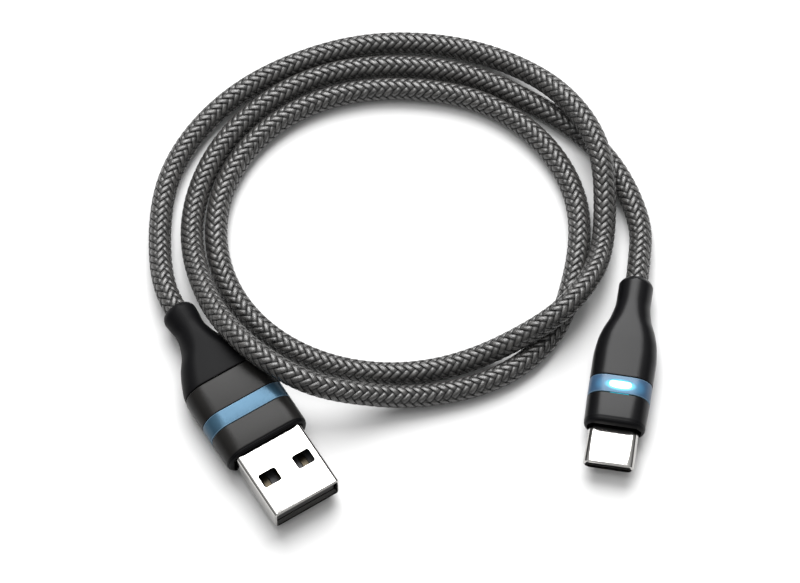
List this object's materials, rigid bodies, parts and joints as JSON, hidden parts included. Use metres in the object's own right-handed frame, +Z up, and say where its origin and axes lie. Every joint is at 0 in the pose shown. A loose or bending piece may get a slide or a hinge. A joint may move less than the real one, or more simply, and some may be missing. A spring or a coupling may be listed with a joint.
{
  "type": "charging cable",
  "caption": "USB-A to USB-C charging cable with a braided jacket, laid in a loose coil, with a blue band on each plug and a light in the USB-C plug.",
  "frame": {"origin": "middle of the underside of the box round the two plugs, on the surface that the cable lies on", "axes": "+Z up from the surface, +X from the USB-A plug towards the USB-C plug, +Y from the plugs towards the coil's far side"},
  "size_m": [0.0836, 0.0918, 0.0108],
  "materials": {
    "braid": "woven charcoal and light grey yarn, matt",
    "boot_rubber": "soft matt black",
    "sleeve_plastic": "satin charcoal",
    "blue_band": "satin sky blue",
    "light_band": "translucent steel blue",
    "light_window": "lit, white with a cyan edge",
    "nickel": "bright nickel plate",
    "insulator": "black moulded",
    "contact_gold": "gold plated",
    "shield_steel": "tinned sheet steel",
    "inner_mould": "natural white moulded",
    "circuit_board": "green solder mask",
    "chip": "black ceramic",
    "wire_red": "red insulation",
    "wire_white": "white insulation",
    "wire_green": "green insulation",
    "wire_black": "black insulation"
  },
  "bodies": {
    "root": {"cable": "braid", "usb_a_boot": "boot_rubber", "usb_a_rear_sleeve": "sleeve_plastic", "usb_a_colour_band": "blue_band", "usb_a_front_sleeve": "sleeve_plastic", "usb_a_shell": "nickel", "usb_a_insulator": "insulator", "usb_a_contact_vbus": "contact_gold", "usb_a_contact_data_minus": "contact_gold", "usb_a_contact_data_plus": "contact_gold", "usb_a_contact_ground": "contact_gold", "usb_a_rear_shield": "shield_steel", "usb_a_inner_mould": "inner_mould", "usb_a_wire_red": "wire_red", "usb_a_wire_white": "wire_white", "usb_a_wire_green": "wire_green", "usb_a_wire_black": "wire_black", "usb_c_boot": "boot_rubber", "usb_c_light_band": "light_band", "usb_c_light_window": "light_window", "usb_c_front_sleeve": "boot_rubber", "usb_c_shell": "nickel", "usb_c_insulator": "insulator", "usb_c_latch_spring": "shield_steel", "usb_c_contact_a1_ground": "contact_gold", "usb_c_contact_a4_vbus": "contact_gold", "usb_c_contact_a5_cc": "contact_gold", "usb_c_contact_a6_data_plus": "contact_gold", "usb_c_contact_a7_data_minus": "contact_gold", "usb_c_contact_a9_vbus": "contact_gold", "usb_c_contact_a12_ground": "contact_gold", "usb_c_contact_b1_ground": "contact_gold", "usb_c_contact_b4_vbus": "contact_gold", "usb_c_contact_b9_vbus": "contact_gold", "usb_c_contact_b12_ground": "contact_gold", "usb_c_circuit_board": "circuit_board", "usb_c_led": "light_window", "usb_c_resistor": "chip", "usb_c_crimp_ring": "shield_steel", "usb_c_inner_mould": "inner_mould", "usb_c_wire_red": "wire_red", "usb_c_wire_white": "wire_white", "usb_c_wire_green": "wire_green", "usb_c_wire_black": "wire_black"}
  },
  "joints": []
}
